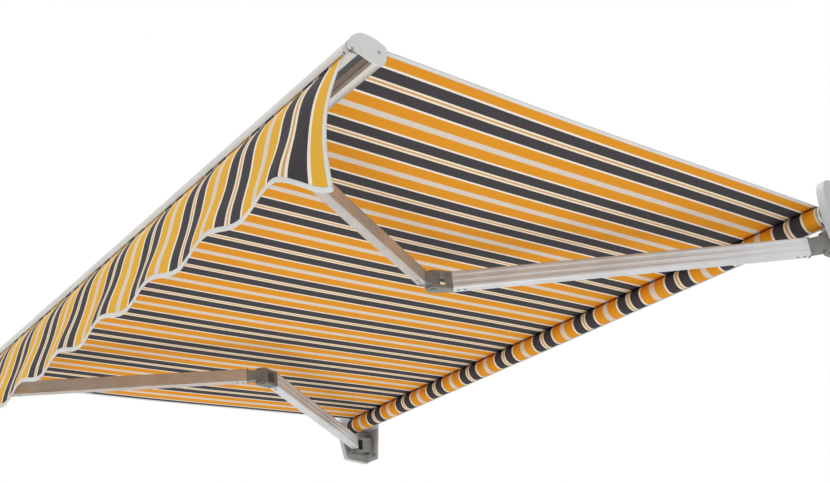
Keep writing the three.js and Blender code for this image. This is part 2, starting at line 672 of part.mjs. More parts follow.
function buildArm({ name, sign }) {
  const layout = armLayout(sign);
  const bore = PIN_RADIUS + SEAT;
  const upper = frameGroup(planeFrame(layout.shoulder, layout.upperDirection));
  add(upper, name + "_shoulder_knuckle", armEye(SHOULDER_EYE, UPPER_TUBE, sign, 0, 1, bore), "cast");
  const tubeStart = SHOULDER_EYE.root + SEAT;
  const tubeStop = UPPER_LENGTH - ELBOW_FORK_ROOT - SEAT;
  add(upper, name + "_upper_arm", armTube(UPPER_TUBE, sign, tubeStart, tubeStop), "silver");
  add(upper, name + "_elbow_fork", elbowFork(sign), "cast");
  const elbowReach = ELBOW_EYE.height / 2 + SEAT + EAR_THICKNESS;
  add(upper, name + "_elbow_pin", pin(elbowReach).translate(UPPER_LENGTH, 0, 0), "steel");

  // Inside the upper arm: the coil hangs on a cross pin, and its cable runs on to the elbow.
  const centre = -sign * UPPER_TUBE.offset;
  const anchorReach = UPPER_TUBE.height / 2 - UPPER_TUBE.wall - SEAT;
  const anchorX = SPRING_START - ANCHOR_RADIUS - SEAT;
  const anchor = rod(ANCHOR_RADIUS, -anchorReach, anchorReach, 12).translate(anchorX, centre, 0);
  add(upper, name + "_spring_anchor", anchor, "steel");
  add(upper, name + "_arm_spring", springCoil().translate(SPRING_START, centre, 0), "steel");
  const cableStart = SPRING_START + SPRING_LENGTH + SEAT;
  const cableStop = UPPER_LENGTH - ELBOW_FORK_ROOT - PLUG_LENGTH - SEAT;
  const eyelet = rod(SPRING_RADIUS - 1, cableStart, cableStart + COLLAR_LENGTH, 12);
  const cable = alongX(join(eyelet, rod(CABLE_RADIUS, cableStart, cableStop, 8))).translate(0, centre, 0);
  add(upper, name + "_arm_cable", cable, "steel");

  const fore = frameGroup(planeFrame(layout.elbow, layout.foreDirection));
  add(fore, name + "_elbow_knuckle", armEye(ELBOW_EYE, FORE_TUBE, sign, 0, 1, bore), "cast");
  const foreStop = FORE_LENGTH - FRONT_EYE.root - SEAT;
  add(fore, name + "_forearm", armTube(FORE_TUBE, sign, ELBOW_EYE.root + SEAT, foreStop), "silver");
  // The bar is carried by the left arm, so the right eye has play round its pin.
  const frontBore = sign > 0 ? bore + OPEN_PIVOT_PLAY : bore;
  const frontEye = armEye(FRONT_EYE, FORE_TUBE, sign, FORE_LENGTH, -1, frontBore);
  add(fore, name + "_front_eye", frontEye, "cast");
}

// Front bar

// A point of the bar's section: out from its back edge and up from its cloth groove.
function barPoint([out, up, rounding]) {
  return [groovePoint.x - out, groovePoint.y + up, rounding];
}

const barOutline = [
  [0, -6, 4],
  [30, 6, 22],
  [78, 8, 22],
  [112, -24, 22],
  [130, -70, 6],
  [130, -84, 3],
  [118, -84, 3],
  [112, BAR_LAND, 5],
  [BAR_CHANNEL.front + 6, BAR_LAND, 3],
  [BAR_CHANNEL.front, BAR_CHANNEL.roof, 3],
  [BAR_CHANNEL.back, BAR_CHANNEL.roof, 3],
  [BAR_CHANNEL.back - 6, BAR_LAND, 3],
  [14, BAR_LAND, 13],
  [0, -46, 13],
];
const barBackChamber = [
  [15, -22, 3],
  [30, -1, 6],
  [58, 2.5, 2],
  [58, -49.5, 2],
  [44, -49.5, 2],
  [36, -63, 2],
  [17, -63, 8],
  [5, -44, 8],
  [5, -22, 2],
];
const barFrontChamber = [
  [63, 2.5, 2],
  [76, 3, 9],
  [105, -26, 12],
  [112, -62, 3],
  [90, -62, 2],
  [83, -49.5, 2],
  [63, -49.5, 2],
];

// The end cap's outline, which leaves the bar's front lip open, drawn in by a distance towards its middle.
function capOutline(inset) {
  const middle = new V2(56, -30);
  const corners = [
    [-1, -4, 5],
    [30, 8, 22],
    [79, 10, 22],
    [114, -24, 22],
    [118, -60, 8],
    [84, -60, 12],
    [42, -70, 12],
    [13, -70, 12],
    [-1, -47, 12],
  ];
  const drawnIn = corners.map(([out, up, rounding]) => {
    const corner = new V2(out, up);
    const towards = middle.clone().sub(corner).setLength(inset);
    return [...corner.add(towards).toArray(), rounding];
  });
  return roundedShape(drawnIn.map(barPoint));
}

// An open groove along the bar that holds a rod: a round channel with a slot to the outside.
function barGroove(groove, radius, slot, outwards, upwards, half) {
  const [y, z] = barPoint([groove.out, groove.up, 0]);
  const channel = alongX(rod(radius, -half - 1, half + 1, 16)).translate(0, y, z);
  const [side, reach] = [slot / 2, 16];
  const mouth = outwards
    ? box(-half - 1, half + 1, y, y + outwards * reach, z - side, z + side)
    : box(-half - 1, half + 1, y - side, y + side, z, z + upwards * reach);
  return join(channel, mouth);
}

function buildFrontBar() {
  const section = roundedShape(barOutline.map(barPoint));
  section.holes.push(roundedShape(barBackChamber.map(barPoint)), roundedShape(barFrontChamber.map(barPoint)));
  const body = alongX(prism(section, -barHalf, barHalf, 4));
  const clothSlot = barGroove(clothGroove, CLOTH_GROOVE_RADIUS, CLOTH_SLOT, 1, 0, barHalf);
  const valanceSlot = barGroove(valanceGroove, VALANCE_GROOVE_RADIUS, VALANCE_SLOT, 0, -1, barHalf);
  add(awning, "front_bar", cut(body, clothSlot, valanceSlot), "silver");

  const clothRod = alongX(rod(CLOTH_ROD_RADIUS, -barHalf, barHalf, 12));
  const [clothY, clothZ] = barPoint([clothGroove.out, clothGroove.up, 0]);
  add(awning, "cloth_rod", clothRod.translate(0, clothY, clothZ), "dark");
  const valanceRod = alongX(rod(VALANCE_ROD_RADIUS, -barHalf, barHalf, 12));
  const [valanceY, valanceZ] = barPoint([valanceGroove.out, valanceGroove.up, 0]);
  add(awning, "valance_rod", valanceRod.translate(0, valanceY, valanceZ), "dark");

  for (const { name, sign } of sides) {
    const inset = barHalf + SEAT;
    const rimEnd = inset + CAP_THICKNESS - CAP_STEP;
    const rim = alongX(prism(capOutline(0), ...span(sign, inset, rimEnd), 5));
    const face = alongX(prism(capOutline(CAP_STEP), ...span(sign, rimEnd - 1, inset + CAP_THICKNESS), 5));
    add(awning, name + "_end_cap", join(rim, face), "grey");
    buildFrontBracket(name, sign);
  }
}

// The bracket under the bar: a plate clamped in the bar's channel, a web down its front, and a fork for the arm.
function buildFrontBracket(name, sign) {
  const { hinge } = armLayout(sign);
  const frame = planeFrame(hinge, new V3(1, 0, 0));
  const half = FRONT_WEB_HALF_WIDTH;
  const inside = FRONT_EYE.height / 2 + SEAT;
  const reach = inside + EAR_THICKNESS;
  const front = -FRONT_WEB - FRONT_WEB_THICKNESS;
  const ears = prism(lugShape(FRONT_EYE.radius - 1, [-half, front], [half, front]), -reach, reach);
  const slot = box(-2 * half, 2 * half, -FRONT_WEB, 3 * half, -inside, inside);
  const bore = rod(PIN_RADIUS + SEAT, -reach - 1, reach + 1);
  const fork = cut(ears, slot, bore).applyMatrix4(frame);

  const plateTop = groovePoint.y + BAR_LAND - SEAT;
  const plateBottom = plateTop - FRONT_PLATE_THICKNESS;
  const plateHalf = FRONT_PLATE_HALF_WIDTH;
  const [plateFront] = barPoint([FRONT_PLATE.front, 0, 0]);
  const [plateBack] = barPoint([FRONT_PLATE.back, 0, 0]);
  const xs = [hinge.x - plateHalf, hinge.x + plateHalf];
  const plate = box(...xs, plateFront, plateBack, plateBottom, plateTop);
  const [tongueFront] = barPoint([BAR_CHANNEL.front - TONGUE_CLEARANCE, 0, 0]);
  const [tongueBack] = barPoint([BAR_CHANNEL.back + TONGUE_CLEARANCE, 0, 0]);
  const tongueTop = groovePoint.y + BAR_CHANNEL.roof - SEAT;
  const tongue = box(...xs, tongueFront, tongueBack, plateTop - 1, tongueTop);
  const webFront = hinge.y + front * Math.cos(PITCH);
  const web = box(
    hinge.x - half,
    hinge.x + half,
    webFront,
    webFront + FRONT_WEB_THICKNESS,
    hinge.z - reach,
    plateBottom + 1,
  );
  add(awning, name + "_front_bracket", join(fork, plate, tongue, web), "cast");
  add(frameGroup(frame), name + "_front_pin", pin(reach), "steel");
}

// Cloth

function buildCanopy() {
  const surface = (u, v) => {
    const point = clothStart.clone().addScaledVector(forward, v * CLOTH_LENGTH);
    point.x = (0.5 - u) * CLOTH_WIDTH;
    point.z -= CLOTH_SAG * 4 * v * (1 - v);
    return point;
  };
  add(awning, "canopy", sheet(surface, 4, 12, CLOTH_THICKNESS), "cloth");
}

// How far the valance hangs at a place along it: scallops, with a longer tab at each end.
function valanceDrop(x) {
  const scallop = SCALLOP_HEIGHT * Math.cos((2 * Math.PI * SCALLOP_COUNT * (x + CLOTH_WIDTH / 2)) / CLOTH_WIDTH);
  const intoTab = (Math.abs(x) - CLOTH_WIDTH / 2 + END_TAB_LENGTH) / END_TAB_LENGTH;
  const tab = END_TAB_DROP * THREE.MathUtils.smoothstep(intoTab, 0, 1);
  return VALANCE_DROP + scallop + tab;
}

// A point of the hanging valance: x along the bar, and down from 0 at the bar to 1 at the hem. The cloth leaves the
// bar straight, swings forward with a ripple and soft folds, and curls back under at both ends.
function valancePoint(x, down) {
  const [y, z] = barPoint([valanceGroove.out, valanceGroove.up - VALANCE_ROD_RADIUS - SEAT, 0]);
  const drop = valanceDrop(x);
  const free = THREE.MathUtils.clamp((down * drop - VALANCE_TOP) / (drop - VALANCE_TOP), 0, 1);
  const end = THREE.MathUtils.smoothstep(Math.abs(x), CLOTH_WIDTH / 2 - END_TAB_LENGTH, CLOTH_WIDTH / 2);
  const swing = VALANCE_LEAN * (1 - (1 - free) ** 2.6) + RIPPLE * Math.sin(2.6 * Math.PI * free);
  const phase = (2 * Math.PI * SCALLOP_COUNT * x) / CLOTH_WIDTH;
  const fold = FOLD_DEPTH * Math.sin(phase + 1.5 * free) * free * free;
  const curl = END_BOW * Math.sin(0.9 * Math.PI * free);
  return new V3(x, y - THREE.MathUtils.lerp(swing + fold, curl, end), z - drop * down);
}

function buildValance() {
  const inset = BINDING_WIDTH + SEAT;
  const bodyHalf = CLOTH_WIDTH / 2 - inset;
  const body = (u, v) => {
    const x = (2 * u - 1) * bodyHalf;
    return valancePoint(x, v * v * (1 - inset / valanceDrop(x)));
  };
  add(awning, "valance", sheet(body, 8 * SCALLOP_COUNT, 7, VALANCE_THICKNESS), "cloth");

  // The bound edge runs down one end, along the hem and up the other end.
  const half = CLOTH_WIDTH / 2;
  const endRun = 4;
  const hemRun = 8 * SCALLOP_COUNT;
  const columns = hemRun + 2 * endRun;
  const begin = BINDING_TOP / valanceDrop(half);
  const path = (u) => {
    const at = u * columns;
    if (at < endRun) return [-1, begin + ((1 - begin) * at) / endRun];
    if (at > columns - endRun) return [1, begin + ((1 - begin) * (columns - at)) / endRun];
    return [(2 * (at - endRun)) / hemRun - 1, 1];
  };
  const binding = (u, v) => {
    const [across, down] = path(u);
    const x = across * (half - v * BINDING_WIDTH);
    return valancePoint(x, down * (1 - (v * BINDING_WIDTH) / valanceDrop(x)));
  };
  add(awning, "valance_binding", sheet(binding, columns, 1, BINDING_THICKNESS), "binding");
}

buildTorsionBar();
sides.forEach(buildBracket);
buildRoller();
sides.forEach(buildArm);
buildFrontBar();
buildCanopy();
buildValance();

export default awning;
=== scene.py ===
# %% [markdown]
# # A folding-arm awning, dressed
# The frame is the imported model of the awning: its brackets, roller, arms and front bar are solids in metres, with
# the wall plane at Y = 0, -Y out from the wall and +Z up. This script gives them finishes and makes the cloth,
# which a solid model can only hint at.

# %% Setup
import math

import bpy
from mathutils import Matrix, Vector


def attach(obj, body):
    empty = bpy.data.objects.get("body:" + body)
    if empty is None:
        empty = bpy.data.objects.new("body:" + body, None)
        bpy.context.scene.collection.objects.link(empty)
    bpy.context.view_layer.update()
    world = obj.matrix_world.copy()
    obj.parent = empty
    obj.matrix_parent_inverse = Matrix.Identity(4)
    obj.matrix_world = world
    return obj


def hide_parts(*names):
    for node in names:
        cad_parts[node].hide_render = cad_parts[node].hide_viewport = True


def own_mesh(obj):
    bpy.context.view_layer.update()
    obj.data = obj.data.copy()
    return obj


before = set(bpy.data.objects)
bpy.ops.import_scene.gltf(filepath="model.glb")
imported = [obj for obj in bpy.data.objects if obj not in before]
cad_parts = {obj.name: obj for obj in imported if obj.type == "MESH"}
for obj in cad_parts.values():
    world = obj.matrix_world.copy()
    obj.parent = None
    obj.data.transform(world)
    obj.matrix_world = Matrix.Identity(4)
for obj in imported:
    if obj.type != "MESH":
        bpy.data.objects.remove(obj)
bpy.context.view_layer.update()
scene = bpy.context.scene
scene.view_settings.view_transform = "Standard"

# %% [markdown]
# ## Sizes
# The cloth leaves the top of the roll and runs straight down the slope to the front bar. These are the sizes that
# the cloth, the hems and the small fasteners are placed by, in metres, the same as those of the solids.

# %% Sizes of the cloth and the bar
CLOTH_WIDTH = 2.910
CLOTH_LENGTH = 1.956
CLOTH_LIFT = 0.0013  # from the roll's surface to the cloth's top face
PITCH = math.radians(7.3)
ROLL_RADIUS = 0.0388
TUBE_RADIUS = 0.035
GROOVE_DEPTH = 0.0031  # how far the cloth's end lies inside the bar's back edge
GROOVE_DROP = 0.009  # how far the cloth's end lies below the bar's zero level
CAP_THICKNESS = 0.006
ROLLER = Vector((0, -0.130, 0))
ACROSS = Vector((1, 0, 0))
FORWARD = Vector((0, -math.cos(PITCH), -math.sin(PITCH)))
NORMAL = Vector((0, -math.sin(PITCH), math.cos(PITCH)))
CLOTH_START = ROLLER + NORMAL * (ROLL_RADIUS + CLOTH_LIFT)
CLOTH_END = CLOTH_START + FORWARD * CLOTH_LENGTH
BAR_BACK = CLOTH_END + Vector((0, GROOVE_DEPTH, GROOVE_DROP))
BAR_END = CLOTH_WIDTH / 2 + CAP_THICKNESS
SIDES = (("left", -1), ("right", 1))


def across(u):
    """X from the cloth's left edge to its right edge, for u from 0 to 1."""
    return (u - 0.5) * CLOTH_WIDTH


def on_bar(x, out, up):
    """A point of the bar's section: out from its back edge and up from its zero level."""
    return BAR_BACK + Vector((x, -out, up))


def rounded(values, digits=3):
    """Numbers as they are printed."""
    return tuple(round(float(v), digits) for v in values)


print("cloth runs from", rounded(CLOTH_START), "to", rounded(CLOTH_END))

# %% [markdown]
# ## Two small helpers
# Colours are written as sRGB hex values, as a painter reads them off a swatch, and Blender's shaders want linear
# numbers, so one function turns the first into the second. The other adds a node to any tree, shader or geometry:
# it sets the node's own settings and either links or fills its sockets.

# %% Colour and node helpers
def linear(code):
    """A hex colour as linear RGBA."""
    parts = [int(code[i : i + 2], 16) / 255 for i in (1, 3, 5)]
    return [p / 12.92 if p <= 0.04045 else ((p + 0.055) / 1.055) ** 2.4 for p in parts] + [1]


def node(tree, kind, sockets=None, **settings):
    """A new node: settings are its own properties, sockets are values or the outputs that feed it."""
    made = tree.nodes.new(kind)
    for key, value in settings.items():
        setattr(made, key, value)
    for key, value in (sockets or {}).items():
        if isinstance(value, bpy.types.NodeSocket):
            tree.links.new(value, made.inputs[key])
        else:
            made.inputs[key].default_value = value
    return made


def new_material(name):
    """An empty material with its output node."""
    material = bpy.data.materials.new(name)
    material.use_nodes = True
    material.node_tree.nodes.clear()
    return material, material.node_tree, node(material.node_tree, "ShaderNodeOutputMaterial")


def wave_scale(period):
    """The Wave Texture's scale for bands that repeat after so many metres."""
    return 2 * math.pi / (20 * period)


print("linear mid grey:", rounded(linear("#808080")))

# %% [markdown]
# ## The striped cloth
# The real cloth is solution-dyed acrylic, woven in stripes, so the colour is the yarn's own and shows on both faces.
# One ramp holds half of the repeat, mirrored about the cream stripe: a thin tan line, cream, a dark band, a thin
# white line, a yellow band and a light grey one. The ramp reads the distance from the nearest cream stripe along X.
# The weave is far finer than a pixel, so it is drawn as ribs a few millimetres apart, and a slow noise gives the
# slight unevenness that any cloth of this length has. A matt, low-gloss surface is what spun acrylic shows the eye.

# %% Striped cloth material
STRIPE_REPEAT = 0.255
CREAM_SHARE = 0.475  # of a repeat, from the cloth's right edge to its last cream stripe
CREAM_CENTRE = CLOTH_WIDTH / 2 - CREAM_SHARE * STRIPE_REPEAT
STRIPES = [  # share of half a repeat at which each colour starts, from the cream stripe's middle
    (0.000, "#CCA376"),
    (0.034, "#F4E6CD"),
    (0.096, "#403D41"),
    (0.456, "#F1E7D9"),
    (0.524, None),
    (0.896, "#D9CEC1"),
]
WEAVE_RIBS = (("X", 0.004), ("DIAGONAL", 0.007))  # coarser than real threads, so that they show
WEAVE_DEPTH = 0.0004
SLUB_SIZE = 1 / 180
CLOUD_SIZE = 1 / 2.2


def striped_cloth(name, yellow, aged):
    """Woven acrylic: yellow is the wide band's colour and aged is the same after sun and rain."""
    material, tree, output = new_material(name)
    place = node(tree, "ShaderNodeTexCoord").outputs["Object"]
    x = node(tree, "ShaderNodeSeparateXYZ", {0: place}).outputs["X"]
    shifted = node(tree, "ShaderNodeMath", {0: x, 1: CREAM_CENTRE}, operation="SUBTRACT").outputs[0]
    repeats = node(tree, "ShaderNodeMath", {0: shifted, 1: 1 / STRIPE_REPEAT}, operation="MULTIPLY").outputs[0]
    half = node(tree, "ShaderNodeMath", {0: repeats, 1: 0.5}, operation="PINGPONG").outputs[0]
    share = node(tree, "ShaderNodeMath", {0: half, 1: 2.0}, operation="MULTIPLY").outputs[0]
    colours = []
    for band in (yellow, aged):
        ramp = node(tree, "ShaderNodeValToRGB", {0: share})
        ramp.color_ramp.interpolation = "CONSTANT"
        stops = ramp.color_ramp.elements
        while len(stops) < len(STRIPES):
            stops.new(1.0)
        for stop, (start, code) in zip(stops, STRIPES):
            stop.position = start
            stop.color = linear(code or band)
        colours.append(ramp.outputs["Color"])
    cloud = node(tree, "ShaderNodeTexNoise", {"Vector": place, "Scale": 1 / CLOUD_SIZE, "Detail": 4.0}).outputs["Fac"]
    mixed = node(tree, "ShaderNodeMix", {0: cloud, 6: colours[0], 7: colours[1]}, data_type="RGBA").outputs[2]
    ribs = []
    for way, size in WEAVE_RIBS:
        wave = node(tree, "ShaderNodeTexWave", {"Vector": place, "Scale": wave_scale(size)}, bands_direction=way)
        ribs.append(wave.outputs["Fac"])
    weave = node(tree, "ShaderNodeMath", {0: ribs[0], 1: ribs[1]}, operation="ADD").outputs[0]
    slub = node(tree, "ShaderNodeTexNoise", {"Vector": place, "Scale": 1 / SLUB_SIZE, "Detail": 3.0}).outputs["Fac"]
    height = node(tree, "ShaderNodeMath", {0: weave, 1: slub}, operation="ADD").outputs[0]
    bump = node(tree, "ShaderNodeBump", {"Strength": 0.25, "Distance": WEAVE_DEPTH, "Height": height}).outputs[0]
    rough = node(tree, "ShaderNodeMapRange", {0: slub, 3: 0.72, 4: 0.9}).outputs[0]
    cloth = node(
        tree,
        "ShaderNodeBsdfPrincipled",
        {"Base Color": mixed, "Roughness": rough, "Normal": bump, "Specular IOR Level": 0.2},
    )
    tree.links.new(cloth.outputs[0], output.inputs[0])
    return material


# The roof's yellow is a deeper orange than the valance's. It is painted shade: the colour of the cloth's shaded
# underside. The valance keeps the yellow of its lit front.
roof_cloth = striped_cloth("woven_acrylic_roof_painted_shade", "#DE9321", "#E0951C")
valance_cloth = striped_cloth("woven_acrylic_valance", "#E2A62E", "#E6B541")
print("stripes repeat every", STRIPE_REPEAT, "m, last cream stripe at x =", round(CREAM_CENTRE, 3))

# %% [markdown]
# ## Metals and plastics
# Extruded aluminium comes out of its die with fine lines along the bar, and anodising leaves it satin. A noise that is
# stretched along the bar gives those lines. Cast aluminium is dull, with a sandy skin, so its noise is round and its
# bump deeper. Powder coat and moulded plastic are not metals: they have a light orange-peel skin. Each grain is a few
# times coarser than the real one, so that it shows at all, and a slow stain breaks up the flat colour.

# %% Rigid finishes
STAIN_SIZE = 1 / 9


def rigid(name, colour, shade, metallic, roughness, grain, stretch=1.0, turn=0.0, depth=0.0002):
    """A hard finish: its grain, in metres, is stretched along a line turned from X and varies colour and gloss."""
    material, tree, output = new_material(name)
    place = node(tree, "ShaderNodeTexCoord").outputs["Object"]
    turned = node(tree, "ShaderNodeMapping", {"Vector": place, "Rotation": (0, 0, turn)}).outputs[0]
    drawn = node(tree, "ShaderNodeMapping", {"Vector": turned, "Scale": (1 / stretch, 1, 1)}).outputs[0]
    skin = node(tree, "ShaderNodeTexNoise", {"Vector": drawn, "Scale": 1 / grain, "Detail": 5.0}).outputs["Fac"]
    stain = node(tree, "ShaderNodeTexNoise", {"Vector": place, "Scale": 1 / STAIN_SIZE, "Detail": 3.0}).outputs["Fac"]
    both = node(tree, "ShaderNodeMath", {0: skin, 1: stain}, operation="MULTIPLY").outputs[0]
    spread = node(tree, "ShaderNodeMapRange", {0: both, 1: 0.12, 2: 0.42}).outputs[0]
    tone = node(
        tree, "ShaderNodeMix", {0: spread, 6: linear(shade), 7: linear(colour)}, data_type="RGBA"
    ).outputs[2]
    gloss = node(tree, "ShaderNodeMapRange", {0: skin, 3: roughness - 0.07, 4: roughness + 0.07}).outputs[0]
    bump = node(tree, "ShaderNodeBump", {"Strength": 0.3, "Distance": depth, "Height": skin}).outputs[0]
    surface = node(
        tree,
        "ShaderNodeBsdfPrincipled",
        {"Base Color": tone, "Metallic": metallic, "Roughness": gloss, "Normal": bump},
    )
    tree.links.new(surface.outputs[0], output.inputs[0])
    return material


DIE_LINE = 0.002
DRAWN = 60  # die lines are this many times longer than wide
UPPER_TURN = math.radians(51.1)  # the arms' headings, seen from above
FORE_TURN = math.radians(59.1)
bar_aluminium = rigid("anodised_aluminium_bar", "#D2CFCA", "#BDB9B3", 0.75, 0.36, DIE_LINE, DRAWN)
arm_aluminium = {
    "left_upper_arm": rigid("anodised_arm_a", "#E8E9EB", "#D6D7DA", 0.45, 0.33, DIE_LINE, DRAWN, UPPER_TURN),
    "right_upper_arm": rigid("anodised_arm_b", "#E8E9EB", "#D6D7DA", 0.45, 0.33, DIE_LINE, DRAWN, -UPPER_TURN),
    "left_forearm": rigid("anodised_arm_c", "#DCD5CF", "#C3BBB4", 0.7, 0.32, DIE_LINE, DRAWN, -FORE_TURN),
    "right_forearm": rigid("anodised_arm_d", "#DCD5CF", "#C3BBB4", 0.7, 0.32, DIE_LINE, DRAWN, FORE_TURN),
}
cast_aluminium = rigid("cast_aluminium", "#A3A29F", "#767572", 0.6, 0.5, 0.0016, depth=0.0008)
zinc_steel = rigid("zinc_plated_steel", "#A2A5A8", "#7C7F82", 0.9, 0.33, 0.003)
powder_coat = rigid("powder_coat_grey", "#BCBDBD", "#ADAEAE", 0.0, 0.45, 0.0015)
light_plastic = rigid("moulded_light_grey", "#E6E8E5", "#DADCD9", 0.0, 0.42, 0.0012)
cover_plastic = rigid("moulded_cover_grey", "#C6CAC8", "#B8BCBA", 0.0, 0.42, 0.0012)
dark_plastic = rigid("moulded_dark_grey", "#44454A", "#34353A", 0.0, 0.5, 0.0012)
# Painted shade: the brown of the front bar's shaded underside, for the strip under the bar.
shaded_underside_brown = rigid("painted_shade_brown", "#7D6A5C", "#6B594C", 0.0, 0.5, 0.002, stretch=40)
tape = rigid("woven_hem_tape", "#E3E3E1", "#D3D3D0", 0.0, 0.8, 0.003, depth=0.0005)
thread = rigid("hem_thread", "#C9C9C5", "#BDBDB8", 0.0, 0.8, 0.002)
print("materials:", len(bpy.data.materials))

# %% Finishes on the frame's solids
CASTINGS = ("shoulder_base", "shoulder_knuckle", "elbow_fork", "elbow_knuckle", "front_eye", "front_bracket")
FINISHES = {
    bar_aluminium: ["front_bar", "torsion_bar", "roller_tube"],
    cast_aluminium: [side + "_" + piece for side, _ in SIDES for piece in CASTINGS],
    powder_coat: ["left_bracket", "right_bracket"],
    cover_plastic: ["left_bracket_cover", "right_bracket_cover"],
    light_plastic: ["left_end_cap", "right_end_cap", "idler_plug", "motor_crown"],
    dark_plastic: ["idler_bush", "drive_wheel", "motor_head", "cloth_rod", "valance_rod"],
}
finish_of = {name: finish for finish, names in FINISHES.items() for name in names} | arm_aluminium
WELD_GAP = 2e-5
CRISP_ANGLE = math.radians(32)


def crisp_edges(piece):
    """Keeps a piece's edges sharp where its faces meet at an angle."""
    piece.modifiers.new("crisp_edges", "EDGE_SPLIT").split_angle = CRISP_ANGLE


for name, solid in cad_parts.items():
    solid.data.materials[0] = finish_of.get(name, zinc_steel)
    solid.data.shade_smooth()
    solid.modifiers.new("weld", "WELD").merge_threshold = WELD_GAP
    crisp_edges(solid)
print("finished", len(finish_of), "solids by name, the rest in zinc-plated steel")

# %% [markdown]
# ## The roof cloth
# A taut awning cloth is a nearly flat sheet that sags a little past the middle of its run and lies straight where it
# leaves the roll and enters the bar. It is made as a grid on a rule, then given its thickness. When the arms fold, the
# cloth winds onto the roller. The side edges carry a turned hem, made as a band on the same surface.

# %% Sheets on a rule
def make_object(name, vertices, faces, material):
    """A mesh object at the origin with smooth faces."""
    mesh = bpy.data.meshes.new(name)
    mesh.from_pydata([tuple(v) for v in vertices], [], faces)
    mesh.materials.append(material)
    mesh.shade_smooth()
    mesh.update()
    piece = bpy.data.objects.new(name, mesh)
    scene.collection.objects.link(piece)
    return piece


def settle(piece):
    """Turns a piece's modifiers into plain mesh."""
    graph = bpy.context.evaluated_depsgraph_get()
    mesh = bpy.data.meshes.new_from_object(piece.evaluated_get(graph))
    piece.modifiers.clear()
    piece.data = mesh
    mesh.name = piece.name
    return piece


def sheet(name, rule, columns, rows, thickness, material):
    """A thin closed sheet: rule gives the point for u and v from 0 to 1."""
    points = [rule(i / columns, j / rows) for j in range(rows + 1) for i in range(columns + 1)]
    step = columns + 1
    faces = [
        (j * step + i, j * step + i + 1, (j + 1) * step + i + 1, (j + 1) * step + i)
        for j in range(rows)
        for i in range(columns)
    ]
    piece = make_object(name, points, faces, material)
    wall = piece.modifiers.new("thickness", "SOLIDIFY")
    wall.thickness = thickness
    wall.offset = 0
    wall.use_even_offset = False
    return settle(piece)


# %% Roof cloth and its hems
CLOTH_SAG = 0.006
SAG_PEAK = 28.9  # scales the sag's rule to 1 at its peak, three fifths along the run
CREASE_HEIGHT = 0.0006
CREASES = 11.0  # radians of crease for each metre across
ROOF_MIDDLE = 0.0005  # from the cloth's top face to its middle
ROOF_COLUMNS, ROOF_ROWS = 110, 60
ROOF_THICKNESS = 0.0008
HEM_WIDTH = 0.016
HEM_THICKNESS = 0.0014


def roof_point(x, along):
    """A point of the cloth's middle face."""
    point = CLOTH_START - NORMAL * ROOF_MIDDLE + FORWARD * (along * CLOTH_LENGTH) + ACROSS * x
    point.z -= CLOTH_SAG * SAG_PEAK * along**3 * (1 - along) ** 2
    point.z += CREASE_HEIGHT * math.sin(along * math.pi) ** 2 * math.sin(x * CREASES + 2.0 * along)
    return point


def hem_point(sign, u, v):
    """A point of the hem along one edge of the cloth."""
    inset = HEM_WIDTH * (1 - u if sign > 0 else u)
    return roof_point(sign * (CLOTH_WIDTH / 2 - inset), v)


roof = sheet(
    "roof_cloth", lambda u, v: roof_point(across(u), v), ROOF_COLUMNS, ROOF_ROWS, ROOF_THICKNESS, roof_cloth
)
roof_hems = [
    sheet(side + "_roof_hem", lambda u, v: hem_point(sign, u, v), 3, ROOF_ROWS, HEM_THICKNESS, tape)
    for side, sign in SIDES
]
for piece in [roof, *roof_hems]:
    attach(piece, "frame")
    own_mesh(piece)
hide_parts("canopy")
print("roof cloth:", len(roof.data.polygons), "faces")

# %% [markdown]
# ## The cloth roll
# What is left of the cloth lies on the tube in a few turns, whose edges never line up, so the ends of the roll show
# small steps. The roll is a profile turned about the roller's axis.

# %% Cloth roll
INNER_TURN = TUBE_RADIUS + 0.0003
TURNS = [(0.0361, 0.0006), (0.0370, -0.0008), (0.0379, 0.0004), (ROLL_RADIUS, -0.0004)]  # radius, shift of its edge
SEGMENTS = 72
profile = []
inner = INNER_TURN
for radius, shift in TURNS:
    end = CLOTH_WIDTH / 2 + shift
    profile += [(end, inner), (end, radius)]
    inner = radius
profile += [(-x, radius) for x, radius in reversed(profile)]
vertices = []
for x, radius in profile:
    for k in range(SEGMENTS):
        angle = 2 * math.pi * k / SEGMENTS
        vertices.append((x, ROLLER.y + radius * math.cos(angle), ROLLER.z + radius * math.sin(angle)))
faces = []
for i in range(len(profile)):
    j = (i + 1) % len(profile)
    for k in range(SEGMENTS):
        m = (k + 1) % SEGMENTS
        faces.append((i * SEGMENTS + k, j * SEGMENTS + k, j * SEGMENTS + m, i * SEGMENTS + m))
roll = make_object("cloth_roll", vertices, faces, roof_cloth)
crisp_edges(roll)
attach(roll, "roller")
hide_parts("fabric_roll")
print("roll of", len(TURNS), "turns,", len(faces), "faces")

# %% [markdown]
# ## The valance
# The valance hangs from a rod in the front bar. Its lower edge is cut in shallow waves and it hangs lower at both ends.
# The cloth leaves the bar straight, swings forward with a ripple and soft folds, and curls back under at its two ends.
# A tape binds the hem and the side edges, sewn on with a row of stitches. As a rule gives every point, the cloth, the
# tapes and the stitches all lie on the same surface.

# %% The valance's surface
VALANCE_DROP = 0.340
VALANCE_TOP = 0.007  # hangs straight this far below the rod
VALANCE_LEAN = 0.072
LEAN_EASE = 2.6
RIPPLE = 0.006
RIPPLE_WAVES = 1.3
SCALLOPS = 9
SCALLOP_HEIGHT = 0.015
TAB_DROP = 0.035
TAB_LENGTH = 0.150
FOLD_DEPTH = 0.006
FOLD_DRIFT = 1.5  # radians by which a fold shifts sideways on its way down
END_BOW = 0.040
END_CURL = 0.9
ROD_OUT, ROD_UP = 0.124, -0.0801  # the rod's place on the bar's section


def end_share(x):
    """0 along the valance, rising smoothly to 1 at either end."""
    t = min(max((abs(x) - CLOTH_WIDTH / 2 + TAB_LENGTH) / TAB_LENGTH, 0), 1)
    return t * t * (3 - 2 * t)


